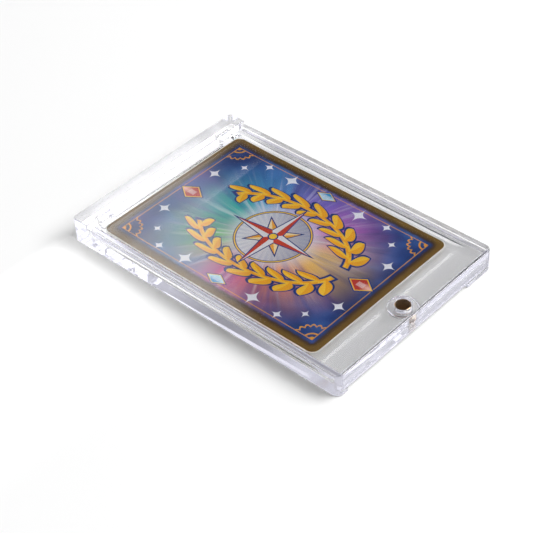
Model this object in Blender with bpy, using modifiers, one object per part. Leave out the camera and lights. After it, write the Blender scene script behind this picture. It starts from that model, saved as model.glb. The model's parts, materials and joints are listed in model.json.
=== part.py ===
"""Clear magnetic case for one trading card, lying flat with its lid closed.

The base is one moulding: a thick floor with a shallow well for the card, two side rails and a raised bar
across the far end. The lid is a second moulding. It lies between the rails, hooks into the bar with two
tabs, and a pair of disc magnets holds it at the near end. The lid turns about the middle of its rounded
far edge, where the tabs start.

X runs across the case, Y runs towards the bar and Z is up. The origin is under the middle of the case.
"""

from math import cos, hypot, pi, radians, sin

import bmesh
import bpy

MM = 0.001

# Card, in the standard size of trading cards
CARD_WIDTH = 63.0 * MM
CARD_LENGTH = 88.0 * MM
CARD_THICKNESS = 0.35 * MM
CARD_CORNER_RADIUS = 3.0 * MM

# Clearances
FIT_GAP = 0.3 * MM
CARD_SIDE_PLAY = 1.1 * MM
CARD_FAR_PLAY = 0.6 * MM
CARD_NEAR_PLAY = 2.9 * MM
CARD_TOP_PLAY = 0.45 * MM

# Base
RAIL_WIDTH = 1.9 * MM
LEDGE_WIDTH = 1.6 * MM
NEAR_LAND_LENGTH = 8.5 * MM
RAMP_LENGTH = 1.5 * MM
FAR_LAND_LENGTH = 0.9 * MM
BAR_LENGTH = 6.8 * MM
BAR_RISE = 1.2 * MM
WELL_FLOOR_Z = 3.4 * MM
WELL_CORNER_RADIUS = 1.0 * MM
NEAR_CORNER_RADIUS = 2.5 * MM
FAR_CORNER_RADIUS = 1.5 * MM
LIP_HEIGHT = 1.3 * MM
FINGER_RECESS_DEPTH = 1.2 * MM
FINGER_RECESS_LEFT_MARGIN = 2.2 * MM
FINGER_RECESS_RIGHT_MARGIN = 10.2 * MM

# Lid
LID_THICKNESS = 3.3 * MM
SKIRT_THICKNESS = 2.0 * MM
TAB_WIDTH = 5.0 * MM
TAB_THICKNESS = 1.6 * MM
TAB_REACH = 4.55 * MM
TAB_INSET = 6.7 * MM
LID_OPEN_ANGLE = radians(45)

# Magnets
MAGNET_DIAMETER = 5.0 * MM
MAGNET_FROM_NEAR_END = 5.9 * MM
MAGNET_EDGE_ROUND = 0.2 * MM
PLASTIC_OVER_MAGNET = 1.5 * MM
PLASTIC_UNDER_MAGNET = 0.4 * MM
BOSS_WALL = 1.65 * MM

# Finish of the edges, and how finely round shapes are divided
EDGE_ROUND = 0.35 * MM
EDGE_SEGMENTS = 2
EDGE_ANGLE = radians(40)
CORNER_STEPS = 8
ROUND_SIDES = 48
CUT_OVERRUN = 2.0 * MM
WELD_DISTANCE = 0.001 * MM

# Colours, linear, and surface finish
CLEAR_COLOUR = (0.90, 0.91, 0.95, 1.0)
CLEAR_ROUGHNESS = 0.03
CLEAR_IOR = 1.49
GOLD_COLOUR = (0.72, 0.43, 0.14, 1.0)
GOLD_ROUGHNESS = 0.25
CARD_COLOUR = (0.03, 0.08, 0.32, 1.0)
CARD_ROUGHNESS = 0.35

# Places across the case, measured from its middle plane
WELL_HALF_WIDTH = CARD_WIDTH / 2 + CARD_SIDE_PLAY
BAY_HALF_WIDTH = WELL_HALF_WIDTH + LEDGE_WIDTH
HALF_WIDTH = BAY_HALF_WIDTH + RAIL_WIDTH
LID_HALF_WIDTH = BAY_HALF_WIDTH - FIT_GAP
TAB_X = BAY_HALF_WIDTH - TAB_INSET

# Places along the case, from the near end to the far end
WELL_LENGTH = RAMP_LENGTH + CARD_NEAR_PLAY + CARD_LENGTH + CARD_FAR_PLAY
LENGTH = NEAR_LAND_LENGTH + WELL_LENGTH + FAR_LAND_LENGTH + BAR_LENGTH
NEAR_Y = -LENGTH / 2
FAR_Y = LENGTH / 2
WELL_NEAR_Y = NEAR_Y + NEAR_LAND_LENGTH
WELL_FAR_Y = WELL_NEAR_Y + WELL_LENGTH
BAR_Y = WELL_FAR_Y + FAR_LAND_LENGTH
CARD_Y = WELL_FAR_Y - CARD_FAR_PLAY - CARD_LENGTH / 2
FLOOR_NEAR_Y = NEAR_Y + SKIRT_THICKNESS + FIT_GAP
MAGNET_Y = NEAR_Y + MAGNET_FROM_NEAR_END

# Heights
PARTING_Z = WELL_FLOOR_Z + CARD_THICKNESS + CARD_TOP_PLAY
LID_BOTTOM_Z = PARTING_Z + FIT_GAP
TOP_Z = LID_BOTTOM_Z + LID_THICKNESS
BAR_TOP_Z = TOP_Z + BAR_RISE
CARD_Z = WELL_FLOOR_Z + FIT_GAP + CARD_THICKNESS / 2
SKIRT_BOTTOM_Z = LIP_HEIGHT + FIT_GAP

# Hinge: the lid's far edge is half round about this axis
HINGE_RADIUS = LID_THICKNESS / 2
HINGE_Y = BAR_Y - FIT_GAP - HINGE_RADIUS
HINGE_Z = LID_BOTTOM_Z + HINGE_RADIUS

# Slots: they clear the tabs at rest and as they swing down
SLOT_HALF_WIDTH = TAB_WIDTH / 2 + FIT_GAP
SLOT_TOP_Z = HINGE_Z + TAB_THICKNESS / 2 + FIT_GAP
SLOT_FAR_Y = HINGE_Y + hypot(TAB_REACH, TAB_THICKNESS / 2) + FIT_GAP
TAB_DROP = TAB_REACH * sin(LID_OPEN_ANGLE) + TAB_THICKNESS / 2 * cos(LID_OPEN_ANGLE)
SLOT_BOTTOM_Z = HINGE_Z - TAB_DROP - FIT_GAP
OPEN_TAB_RUN = (HINGE_Z - PARTING_Z - TAB_THICKNESS / 2 * cos(LID_OPEN_ANGLE)) / sin(LID_OPEN_ANGLE)
OPEN_TAB_Y = HINGE_Y + OPEN_TAB_RUN * cos(LID_OPEN_ANGLE) - TAB_THICKNESS / 2 * sin(LID_OPEN_ANGLE)
SLOT_NEAR_Y = OPEN_TAB_Y - FIT_GAP

# Magnets: two alike, stacked between the plastic over the upper and under the lower one
MAGNET_STACK = TOP_Z - PLASTIC_OVER_MAGNET - PLASTIC_UNDER_MAGNET
MAGNET_THICKNESS = (MAGNET_STACK - 3 * FIT_GAP) / 2
LID_POCKET_TOP_Z = TOP_Z - PLASTIC_OVER_MAGNET
LID_MAGNET_BOTTOM_Z = LID_POCKET_TOP_Z - FIT_GAP - MAGNET_THICKNESS
BASE_MAGNET_TOP_Z = LID_MAGNET_BOTTOM_Z - FIT_GAP
POCKET_RADIUS = MAGNET_DIAMETER / 2 + FIT_GAP
BOSS_RADIUS = POCKET_RADIUS + BOSS_WALL
BOSS_RECESS_RADIUS = BOSS_RADIUS + FIT_GAP


def clear_file():
    """Removes whatever objects the file holds."""
    for thing in list(bpy.data.objects):
        bpy.data.objects.remove(thing, do_unlink=True)


def new_collection(name):
    collection = bpy.data.collections.new(name)
    bpy.context.scene.collection.children.link(collection)
    return collection


def new_material(name, colour, roughness, metallic=0.0, transmission=0.0):
    material = bpy.data.materials.new(name)
    material.use_nodes = True
    material.diffuse_color = colour
    shader = material.node_tree.nodes["Principled BSDF"]
    shader.inputs["Base Color"].default_value = colour
    shader.inputs["Roughness"].default_value = roughness
    shader.inputs["Metallic"].default_value = metallic
    shader.inputs["Transmission Weight"].default_value = transmission
    shader.inputs["IOR"].default_value = CLEAR_IOR
    return material


def add_mesh(name, shape, collection, location=(0.0, 0.0, 0.0)):
    """Turns a bmesh into an object at a place, with smooth shading between its sharp edges."""
    mesh = bpy.data.meshes.new(name)
    shape.to_mesh(mesh)
    shape.free()
    mesh.shade_smooth()
    mesh.set_sharp_from_angle(angle=EDGE_ANGLE)
    thing = bpy.data.objects.new(name, mesh)
    thing.location = location
    collection.objects.link(thing)
    return thing


def add_box(name, low, high, collection):
    """A box between two corners, with its origin in its middle."""
    shape = bmesh.new()
    bmesh.ops.create_cube(shape, size=1.0)
    bmesh.ops.scale(shape, vec=[b - a for a, b in zip(low, high)], verts=shape.verts)
    return add_mesh(name, shape, collection, [(a + b) / 2 for a, b in zip(low, high)])


def add_disc(name, radius, centre, bottom, top, collection):
    """An upright cylinder between two heights."""
    shape = bmesh.new()
    bmesh.ops.create_cone(
        shape, cap_ends=True, segments=ROUND_SIDES, radius1=radius, radius2=radius, depth=top - bottom)
    return add_mesh(name, shape, collection, (centre[0], centre[1], (bottom + top) / 2))


def add_slab(name, outline, thickness, collection, location, rotation=(0.0, 0.0, 0.0)):
    """A closed flat outline, filled and given a thickness, as a welded mesh."""
    curve = bpy.data.curves.new(name, "CURVE")
    curve.dimensions = "2D"
    curve.fill_mode = "BOTH"
    curve.extrude = thickness / 2
    spline = curve.splines.new("POLY")
    spline.points.add(len(outline) - 1)
    for point, (across, along) in zip(spline.points, outline):
        point.co = (across, along, 0.0, 1.0)
    spline.use_cyclic_u = True
    flat = bpy.data.objects.new(name + "_outline", curve)
    flat.location = location
    flat.rotation_euler = rotation
    collection.objects.link(flat)
    view = bpy.context.evaluated_depsgraph_get()
    mesh = bpy.data.meshes.new_from_object(flat.evaluated_get(view))
    shape = bmesh.new()
    shape.from_mesh(mesh)
    bmesh.ops.remove_doubles(shape, verts=shape.verts, dist=WELD_DISTANCE)
    bmesh.ops.recalc_face_normals(shape, faces=shape.faces)
    thing = add_mesh(name, shape, collection)
    thing.matrix_world = flat.matrix_world.copy()
    bpy.data.objects.remove(flat, do_unlink=True)
    return thing


def arc(centre, radius, start, end):
    """Points round an arc, from one angle to another. Without a radius it is one point."""
    if not radius:
        return [centre]
    turns = [start + (end - start) * step / CORNER_STEPS for step in range(CORNER_STEPS + 1)]
    return [(centre[0] + radius * cos(turn), centre[1] + radius * sin(turn)) for turn in turns]


def rounded_rectangle(half_width, near, far, near_radius, far_radius):
    """An outline that runs round from the near right corner, with one radius at each end, or none."""
    corners = (
        (half_width - near_radius, near + near_radius, near_radius, -pi / 2),
        (half_width - far_radius, far - far_radius, far_radius, 0.0),
        (far_radius - half_width, far - far_radius, far_radius, pi / 2),
        (near_radius - half_width, near + near_radius, near_radius, pi),
    )
    outline = []
    for across, along, radius, start in corners:
        outline += arc((across, along), radius, start, start + pi / 2)
    return outline


def as_cutter(thing):
    """Marks an object as a tool that shapes another."""
    thing.hide_render = True
    thing.display_type = "WIRE"
    return thing


def combine(target, tool, operation):
    """Adds a live Boolean to the target."""
    step = target.modifiers.new(tool.name, "BOOLEAN")
    step.operation = operation
    step.object = as_cutter(tool)


def round_edges(target, width):
    """Adds a live Bevel to the edges that the target has so far."""
    step = target.modifiers.new("edge_round", "BEVEL")
    step.width = width
    step.segments = EDGE_SEGMENTS
    step.limit_method = "ANGLE"
    step.angle_limit = EDGE_ANGLE
    step.use_clamp_overlap = False


def well_cutter(tools):
    """The card's well. Its near wall leans back, as a ramp that a fingertip can follow under the card."""
    foot_y = WELL_NEAR_Y + RAMP_LENGTH
    height = PARTING_Z - WELL_FLOOR_Z + CUT_OVERRUN
    outline = rounded_rectangle(
        WELL_HALF_WIDTH, foot_y, WELL_FAR_Y, WELL_CORNER_RADIUS, WELL_CORNER_RADIUS)
    cutter = add_slab("cut_well", outline, height, tools, (0.0, 0.0, WELL_FLOOR_Z + height / 2))
    lean = RAMP_LENGTH * height / (PARTING_Z - WELL_FLOOR_Z)
    for vertex in cutter.data.vertices:
        if vertex.co.z > 0 and vertex.co.y < foot_y + WELL_CORNER_RADIUS * 2:
            vertex.co.y -= lean
    return cutter


def make_base(parts, tools, material):
    """One block as high as the rails, the bar joined on, then the lid's bay and everything cut below it."""
    outline = rounded_rectangle(HALF_WIDTH, NEAR_Y, FAR_Y, NEAR_CORNER_RADIUS, FAR_CORNER_RADIUS)
    base = add_slab("base_shell", outline, TOP_Z, parts, (0.0, 0.0, TOP_Z / 2))
    round_edges(base, EDGE_ROUND)
    bar_outline = rounded_rectangle(HALF_WIDTH, BAR_Y, FAR_Y, 0.0, FAR_CORNER_RADIUS)
    bar = add_slab(
        "join_bar", bar_outline, BAR_TOP_Z - WELL_FLOOR_Z, tools, (0.0, 0.0, (BAR_TOP_Z + WELL_FLOOR_Z) / 2))
    round_edges(bar, EDGE_ROUND)
    combine(base, bar, "UNION")

    beyond_y = NEAR_Y - CUT_OVERRUN
    beyond_z = BAR_TOP_Z + CUT_OVERRUN
    bay = add_box(
        "cut_bay", (-BAY_HALF_WIDTH, beyond_y, PARTING_Z), (BAY_HALF_WIDTH, BAR_Y, beyond_z), tools)
    skirt_room = add_box(
        "cut_skirt_room", (-BAY_HALF_WIDTH, beyond_y, LIP_HEIGHT),
        (BAY_HALF_WIDTH, FLOOR_NEAR_Y, beyond_z), tools)
    finger_recess = add_box(
        "cut_finger_recess", (FINGER_RECESS_LEFT_MARGIN - BAY_HALF_WIDTH, beyond_y, -CUT_OVERRUN),
        (BAY_HALF_WIDTH - FINGER_RECESS_RIGHT_MARGIN, NEAR_Y + FINGER_RECESS_DEPTH, PARTING_Z), tools)
    for cutter in (bay, skirt_room, finger_recess, well_cutter(tools)):
        combine(base, cutter, "DIFFERENCE")
    for side, place in (("left", -TAB_X), ("right", TAB_X)):
        slot = add_box(
            "cut_slot_" + side, (place - SLOT_HALF_WIDTH, SLOT_NEAR_Y, SLOT_BOTTOM_Z),
            (place + SLOT_HALF_WIDTH, SLOT_FAR_Y, SLOT_TOP_Z), tools)
        combine(base, slot, "DIFFERENCE")
    boss_recess = add_disc(
        "cut_boss_recess", BOSS_RECESS_RADIUS, (0.0, MAGNET_Y), BASE_MAGNET_TOP_Z, beyond_z, tools)
    pocket = add_disc(
        "cut_base_pocket", POCKET_RADIUS, (0.0, MAGNET_Y), BASE_MAGNET_TOP_Z - MAGNET_THICKNESS - FIT_GAP,
        beyond_z, tools)
    combine(base, boss_recess, "DIFFERENCE")
    combine(base, pocket, "DIFFERENCE")
    base.data.materials.append(material)


def lid_profile():
    """The lid's section along the case, measured from the hinge axis: skirt, plate and half-round edge."""
    near = NEAR_Y - HINGE_Y
    skirt_bottom = SKIRT_BOTTOM_Z - HINGE_Z
    skirt_inside = near + SKIRT_THICKNESS
    far_edge = arc((0.0, 0.0), HINGE_RADIUS, -pi / 2, pi / 2)
    skirt = [
        (near, HINGE_RADIUS), (near, skirt_bottom), (skirt_inside, skirt_bottom),
        (skirt_inside, -HINGE_RADIUS)]
    return skirt + far_edge


def make_lid(parts, tools, material):
    """Plate, skirt and half-round edge from one section, with the tabs and the magnet's boss joined on."""
    lid = add_slab(
        "lid_panel", lid_profile(), 2 * LID_HALF_WIDTH, parts, (0.0, HINGE_Y, HINGE_Z),
        (pi / 2, 0.0, pi / 2))
    round_edges(lid, EDGE_ROUND)
    for side, place in (("left", -TAB_X), ("right", TAB_X)):
        tab = add_box(
            "join_tab_" + side, (place - TAB_WIDTH / 2, HINGE_Y, HINGE_Z - TAB_THICKNESS / 2),
            (place + TAB_WIDTH / 2, HINGE_Y + TAB_REACH, HINGE_Z + TAB_THICKNESS / 2), tools)
        combine(lid, tab, "UNION")
    boss = add_disc("join_boss", BOSS_RADIUS, (0.0, MAGNET_Y), LID_MAGNET_BOTTOM_Z, HINGE_Z, tools)
    pocket = add_disc(
        "cut_lid_pocket", POCKET_RADIUS, (0.0, MAGNET_Y), -CUT_OVERRUN, LID_POCKET_TOP_Z, tools)
    combine(lid, boss, "UNION")
    combine(lid, pocket, "DIFFERENCE")
    lid.data.materials.append(material)
    return lid


def make_magnet(name, bottom, parts, material):
    magnet = add_disc(
        name, MAGNET_DIAMETER / 2, (0.0, MAGNET_Y), bottom, bottom + MAGNET_THICKNESS, parts)
    round_edges(magnet, MAGNET_EDGE_ROUND)
    magnet.data.materials.append(material)
    return magnet


def make_card(parts, material):
    outline = rounded_rectangle(
        CARD_WIDTH / 2, -CARD_LENGTH / 2, CARD_LENGTH / 2, CARD_CORNER_RADIUS, CARD_CORNER_RADIUS)
    card = add_slab("display_card", outline, CARD_THICKNESS, parts, (0.0, CARD_Y, CARD_Z))
    card.data.materials.append(material)


def main():
    clear_file()
    parts = new_collection("magnetic_card_case")
    tools = new_collection("shaping_tools")

    make_base(parts, tools, new_material("clear_base", CLEAR_COLOUR, CLEAR_ROUGHNESS, transmission=1.0))
    lid = make_lid(
        parts, tools, new_material("clear_lid", CLEAR_COLOUR, CLEAR_ROUGHNESS, transmission=1.0))
    make_card(parts, new_material("card_print", CARD_COLOUR, CARD_ROUGHNESS))
    make_magnet(
        "base_magnet", BASE_MAGNET_TOP_Z - MAGNET_THICKNESS, parts,
        new_material("base_magnet_gold", GOLD_COLOUR, GOLD_ROUGHNESS, metallic=1.0))
    lid_magnet = make_magnet(
        "lid_magnet", LID_MAGNET_BOTTOM_Z, parts,
        new_material("lid_magnet_gold", GOLD_COLOUR, GOLD_ROUGHNESS, metallic=1.0))

    hinge = bpy.data.objects.new("lid_hinge_axis", None)
    hinge.location = (0.0, HINGE_Y, HINGE_Z)
    parts.objects.link(hinge)
    bpy.context.view_layer.update()
    for rider in (lid, lid_magnet):
        rider.parent = hinge
        rider.matrix_parent_inverse = hinge.matrix_world.inverted()


main()
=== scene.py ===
"""Looks of a clear magnetic case that holds one printed trading card, lying on a pale floor.

Both halves of the case, the magnets and the card are surfaces worked out with numpy, placed by the packed
model's own sizes. X runs across the case, Y runs towards the raised bar and Z is up.
"""

import json
from math import pi, radians

import bmesh
import bpy
import numpy as np
from bpy.props import FloatProperty, FloatVectorProperty, IntProperty, PointerProperty
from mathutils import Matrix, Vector


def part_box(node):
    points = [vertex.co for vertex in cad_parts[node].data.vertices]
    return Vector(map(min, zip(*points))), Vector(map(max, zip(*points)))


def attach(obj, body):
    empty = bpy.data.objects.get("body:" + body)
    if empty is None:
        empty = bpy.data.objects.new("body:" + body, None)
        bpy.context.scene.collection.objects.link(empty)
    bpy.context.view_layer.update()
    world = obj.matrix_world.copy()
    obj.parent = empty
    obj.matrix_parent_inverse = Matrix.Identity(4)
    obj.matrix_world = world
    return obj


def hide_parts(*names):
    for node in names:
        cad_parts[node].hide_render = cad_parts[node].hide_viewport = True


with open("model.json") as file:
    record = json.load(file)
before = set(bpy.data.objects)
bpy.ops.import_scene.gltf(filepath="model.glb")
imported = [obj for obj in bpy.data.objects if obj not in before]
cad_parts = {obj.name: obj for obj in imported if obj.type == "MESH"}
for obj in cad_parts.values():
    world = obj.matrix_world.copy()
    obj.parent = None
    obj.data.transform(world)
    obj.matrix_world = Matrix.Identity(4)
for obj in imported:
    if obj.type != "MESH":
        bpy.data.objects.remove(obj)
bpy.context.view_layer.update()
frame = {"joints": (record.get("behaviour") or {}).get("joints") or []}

bl_info = {
    "name": "Magnetic card case",
    "version": (1, 0, 0),
    "blender": (4, 5, 0),
    "location": "3D View > Sidebar > Card case",
    "description": "Builds a clear magnetic card case with a printed card in it",
    "category": "Add Mesh",
}

MM = 0.001

# Places read from the packed model
BASE_LOW, BASE_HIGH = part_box("base_shell")
LID_LOW, LID_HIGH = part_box("lid_panel")
CARD_LOW, CARD_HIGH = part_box("display_card")
BASE_MAGNET_LOW, BASE_MAGNET_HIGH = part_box("base_magnet")
LID_MAGNET_LOW, LID_MAGNET_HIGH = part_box("lid_magnet")
HINGE = Vector(frame["joints"][0]["pos_m"])
HINGE_RADIUS = LID_HIGH.z - HINGE.z
CARD_Y = (CARD_LOW.y + CARD_HIGH.y) / 2
CARD_HALF = (CARD_HIGH.y - CARD_LOW.y) / 2
MAGNET_Y = (LID_MAGNET_LOW.y + LID_MAGNET_HIGH.y) / 2
MAGNET_RADIUS = (LID_MAGNET_HIGH.x - LID_MAGNET_LOW.x) / 2

# How finely curves and faces are divided
CORNER_STEPS = 24
EDGE_STEPS = 6
ROUND_STEPS = 24
RAMP_STEPS = 12
DISC_STEPS = 5
CARD_STEPS = 15

OVERRUN = 2.0 * MM
WELD = 0.0005 * MM
CUT_ANGLE = radians(35)

# Finishes, in millimetres: the scratched top, the painted shade under the skirt, the painted sheen on the
# plating's side, and the satin faces
HANDLED = (-0.10, -0.02)
SEAT_SHADE = (0.10, 0.05)
SHEEN_SIDE = (-0.12, -0.04)
GAP_INNER = (-0.08, -0.03)
GAP_OUTER = (0.40, 0.35)
GAP_HEIGHT = (4.1, 4.3)
SLOPE_NEAR = (7.4, 8.2)
SLOPE_FAR = (11.8, 11.0)
SLOPE_HEIGHT = (6.2, 5.8)

# How fast the wave of the magnets' turning marks runs outwards
TURNING_MARKS = 42000.0

# White, a middle grey and the card's print
WHITE = (1.0, 1.0, 1.0)
MID_GREY = (0.5, 0.5, 0.5)
SOFT = 0.05
FRAME_INSET = 1.6 * MM
PRINT_GRAIN = 5200.0
LEAVES = 12
LEAF_WIDTH = 0.40

# Light that runs along inside a clear wall is mirrored many times before it leaves
LIGHT_BOUNCES = 120

# A step between one mirroring and two: past it light runs along inside the plastic
MIRRORED = (1.2, 1.8)

# The floor, and the places where its glow changes, in millimetres: painted light under the bar, painted
# shade under the right rail and the left rail, and painted light beside the case's far half
FLOOR_HALF = 3000.0 * MM
FLOOR_DROP = 0.1 * MM
BAR_GLOW = (30.0, 48.0)
RIGHT_RAIL = (36.0, 31.0)
RIGHT_RAIL_SHARE = 0.45
SHADE_ACROSS = (-32.5, -34.0)
SHADE_ALONG = (52.0, 24.0)
PASSED_ACROSS = (-35.2, -36.4)
PASSED_NEAR = (-15.0, 45.0)
PASSED_FAR = (61.0, 54.0)

# The room, by the direction of a ray
BAND_TOP = (0.42, 0.20)
WINDOW_LINE = (-0.768, 0.634, 0.0886)
WINDOW_LEFT = (-0.012, 0.032)
WINDOW_RIGHT = (0.28, 0.20)
WINDOW_FOOT = (0.50, 0.56)
WINDOW_HEAD = (0.78, 0.70)
WINDOW_FRONT = (0.1, 0.3)


def maker(kind, scale=None, **fixed):
    """A maker of one kind of property that a user can change, from its name, description and value."""
    def make(name, description, value):
        default = value if scale is None else value * scale
        return kind(name=name, description=description, default=default, **fixed)
    return make


# Sizes are given in millimetres and angles in degrees
length = maker(FloatProperty, MM, min=0.0, unit="LENGTH", precision=5)
angle = maker(FloatProperty, radians(1), subtype="ANGLE")
share = maker(FloatProperty, min=0.0, max=1.0, subtype="FACTOR")
level = maker(FloatProperty, min=0.0)
ratio = maker(FloatProperty, min=1.0, max=2.0)
count = maker(IntProperty, min=1)
colour = maker(FloatVectorProperty, size=3, min=0.0, max=1.0, subtype="COLOR")


class CaseSizes(bpy.types.PropertyGroup):
    """Sizes of the two clear halves."""

    gap: length("Gap", "Room between neighbouring pieces", 0.3)
    card_top_play: length("Card top play", "Room over the card", 0.45)
    ledge: length("Ledge", "Ledge between the card's well and a rail", 1.6)
    far_land: length("Far land", "Floor between the well and the bar", 0.9)
    near_land: length("Near land", "Floor between the near end and the well", 8.5)
    ramp: length("Ramp", "Slope at the well's near end", 2.2)
    well_corner: length("Well corner", "Corner radius of the well", 1.0)
    near_corner: length("Near corner", "Corner radius at the near end", 2.5)
    far_corner: length("Far corner", "Corner radius at the bar", 1.5)
    lip: length("Lip", "Height of the lip under the lid's skirt", 1.3)
    skirt: length("Skirt", "Thickness of the lid's skirt", 2.0)
    skirt_fillet: length("Skirt fillet", "Fillet between the lid's plate and its skirt", 0.2)
    recess_depth: length("Finger recess depth", "How far the finger recess goes in", 1.2)
    recess_left: length("Finger recess left", "From the left rail to the finger recess", 2.2)
    recess_right: length("Finger recess right", "From the right rail to the finger recess", 10.2)
    tab_width: length("Tab width", "Width of each hinge tab", 5.0)
    tab_thickness: length("Tab thickness", "Thickness of each hinge tab", 1.6)
    tab_inset: length("Tab inset", "From a rail to the middle of a tab", 6.7)
    open_angle: angle("Opening angle", "How far the lid tilts up", 45)
    relief: length("Relief", "Depth of the shallow relief under the lid", 0.52)
    relief_start: length("Relief start", "From the near end to the relief's slope", 6.9)
    relief_slope: length("Relief slope", "Length of the relief's near slope", 4.2)
    relief_fade: length("Relief fade", "Length of the relief's far slope", 16.0)
    cover: length("Cover", "Plastic over the upper magnet", 1.5)
    boss_wall: length("Boss wall", "Wall of the boss round the upper magnet", 1.65)
    edge: length("Outer edge", "Rounding of the outer edges", 0.35)
    cut_edge: length("Cut edge", "Rounding of cut edges", 0.12)


class PlasticFinish(bpy.types.PropertyGroup):
    """Finish of the clear plastic."""

    tint: colour("Tint", "Colour that light takes in the plastic", (0.985, 0.985, 0.990))
    ior: ratio("IOR", "Refraction of the plastic", 1.49)
    hairlines: share("Hairlines", "Roughness of the fine scratches", 0.10)
    dust: share("Dust", "Roughness of the specks of dust", 0.35)
    satin: share("Satin sides", "Roughness of the side gap's faces", 0.07)
    slope: share("Satin slope", "Roughness of the slopes before the card", 0.13)
    # Painted shade: a dark grey tint under the lid's skirt, that darkens the floor seen below the near edge
    seat_shade: colour("Seat tint", "Grey of the skirt's underside", (0.11, 0.11, 0.115))


class MagnetFinish(bpy.types.PropertyGroup):
    """Finish of the two disc magnets."""

    plating: colour("Plating", "Colour of the metal plating", (0.78, 0.50, 0.24))
    # The pale plating shows in patches of wear, and as painted sheen on the magnet's side
    wear_and_sheen: colour("Worn plating", "Colour where the plating is thin", (0.88, 0.80, 0.70))
    roughness: share("Roughness", "Roughness of the plating", 0.07)
    edge: length("Edge", "Rounding of the magnet's edges", 0.2)


class CardDesign(bpy.types.PropertyGroup):
    """Sizes and colours of the printed card."""

    corner: length("Corner", "Corner radius of the card", 3.0)
    edge: length("Edge", "Rounding of the card's cut edge", 0.06)
    bow: length("Bow", "How far the middle of the card stands above its edge", 0.05)
    border: length("Border", "Width of the printed border", 3.0)
    field_corner: length("Field corner", "Corner radius of the field inside the border", 1.4)
    wreath_across: length("Wreath across", "Half width of the wreath's stem", 17.0)
    wreath_along: length("Wreath along", "Half length of the wreath's stem", 27.0)
    leaf: length("Leaf", "Length of a leaf away from the stem", 5.6)
    medallion: length("Medallion", "Radius of the disc behind the star", 12.0)
    border_colour: colour("Border colour", "Brown gold of the border", (0.165, 0.086, 0.014))
    border_light: colour("Border light", "Lighter flecks in the border", (0.27, 0.155, 0.030))
    border_dark: colour("Border dark", "Dark brown along the border's inner edge", (0.050, 0.026, 0.016))
    deep_blue: colour("Deep colour", "Deepest blue of the field", (0.008, 0.032, 0.165))
    mid_blue: colour("Middle colour", "Lighter blue of the field", (0.05, 0.14, 0.46))
    violet: colour("Violet", "Violet haze of the field", (0.17, 0.12, 0.42))
    glow: colour("Glow", "Pale light in the middle", (0.86, 0.83, 0.90))
    outline: colour("Outline", "Dark blue round the ornaments", (0.012, 0.040, 0.23))
    leaf_gold: colour("Leaf gold", "Golden yellow of the leaves", (1.0, 0.64, 0.05))
    leaf_shade: colour("Leaf shade", "Shaded side of the leaves", (0.94, 0.42, 0.02))
    pale: colour("Pale facets", "Pale facets of the star", (0.84, 0.84, 0.87))
    warm: colour("Warm facets", "Warm facets of the star", (0.66, 0.060, 0.030))
    stock: colour("Card stock", "Colour of the card's cut edge", (0.94, 0.92, 0.87))


class StageLook(bpy.types.PropertyGroup):
    """Floor, lamp and surroundings."""

    floor: colour("Floor", "Colour of the floor", (0.65, 0.65, 0.65))
    glow: share("Floor glow", "White that the camera sees on the floor", 0.21)
    clear_glow: share("Clear glow", "White of the floor, seen through plastic", 0.35)
    inside_glow: share("Inside glow", "White of the floor, mirrored inside the plastic", 0.78)
    # Painted light on the floor under the bar and beside the case's far half, and painted shade under the
    # left rail
    far_glow: share("Far glow", "White under the bar, seen through plastic", 0.44)
    passed_light: share("Passed light", "Light that the case passes on to the floor", 0.25)
    shade_share: share("Shade", "Share of the inside glow that the left rail takes", 0.8)
    lamp_turn: angle("Lamp turn", "Direction of the lamp, from +X", -45)
    lamp_height: angle("Lamp height", "Lamp above the horizon", 50)
    lamp_size: length("Lamp size", "Side of the square lamp", 1500.0)
    lamp_distance: length("Lamp distance", "From the case to the lamp", 2000.0)
    lamp_level: level("Lamp level", "Brightness of the lamp's face", 9.8)
    lamp_inside: share("Lamp inside", "Share of the lamp, seen inside the plastic", 0.115)
    window_level: level("Window level", "Brightness of the mirrored window", 2.3)
    wall_level: level("Wall level", "Brightness of the walls, seen inside the plastic", 0.56)
    wall_colour: colour("Wall colour", "Colour of the walls, seen inside the plastic", (0.87, 0.87, 1.0))
    steps: count("Floor steps", "Grid steps along the floor", 24)


GROUPS = {
    "case_sizes": CaseSizes,
    "case_plastic": PlasticFinish,
    "case_magnets": MagnetFinish,
    "case_card": CardDesign,
    "case_stage": StageLook,
}


# Outlines, blocks and joining

def corner_arc(across, along, radius, start, turn=pi / 2):
    """One arc of an outline: its centre, its radius, the angle where it starts and how far it turns."""
    return (across, along, radius, start, turn)


def box_arcs(low, high, near, far=None):
    """A rounded rectangle between two corners as four arcs, with its near radius and its far one."""
    far = near if far is None else far
    return (
        corner_arc(high[0] - near, low[1] + near, near, -pi / 2),
        corner_arc(high[0] - far, high[1] - far, far, 0.0),
        corner_arc(low[0] + far, high[1] - far, far, pi / 2),
        corner_arc(low[0] + near, low[1] + near, near, pi),
    )


def magnet_circle(radius):
    """A circle about the magnets' axis as four arcs."""
    return tuple(corner_arc(0.0, MAGNET_Y, radius, quarter * pi / 2) for quarter in range(4))


def outline_points(arcs, inset, steps=CORNER_STEPS):
    """Points of a closed outline of arcs and straight lines, drawn inwards by an inset.

    A point of an arc is centre + r (cos t, sin t). r is the radius less the inset where the arc turns left,
    at an outer corner, and the radius plus the inset where it turns right.
    """
    table = np.array(arcs)
    turn = table[:, 3:4] + table[:, 4:5] * np.linspace(0.0, 1.0, steps + 1)
    radius = np.maximum(table[:, 2:3] - np.sign(table[:, 4:5]) * inset, 0.0)
    across = table[:, 0:1] + radius * np.cos(turn)
    along = table[:, 1:2] + radius * np.sin(turn)
    return np.stack([across, along], axis=-1).reshape(-1, 2)


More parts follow.
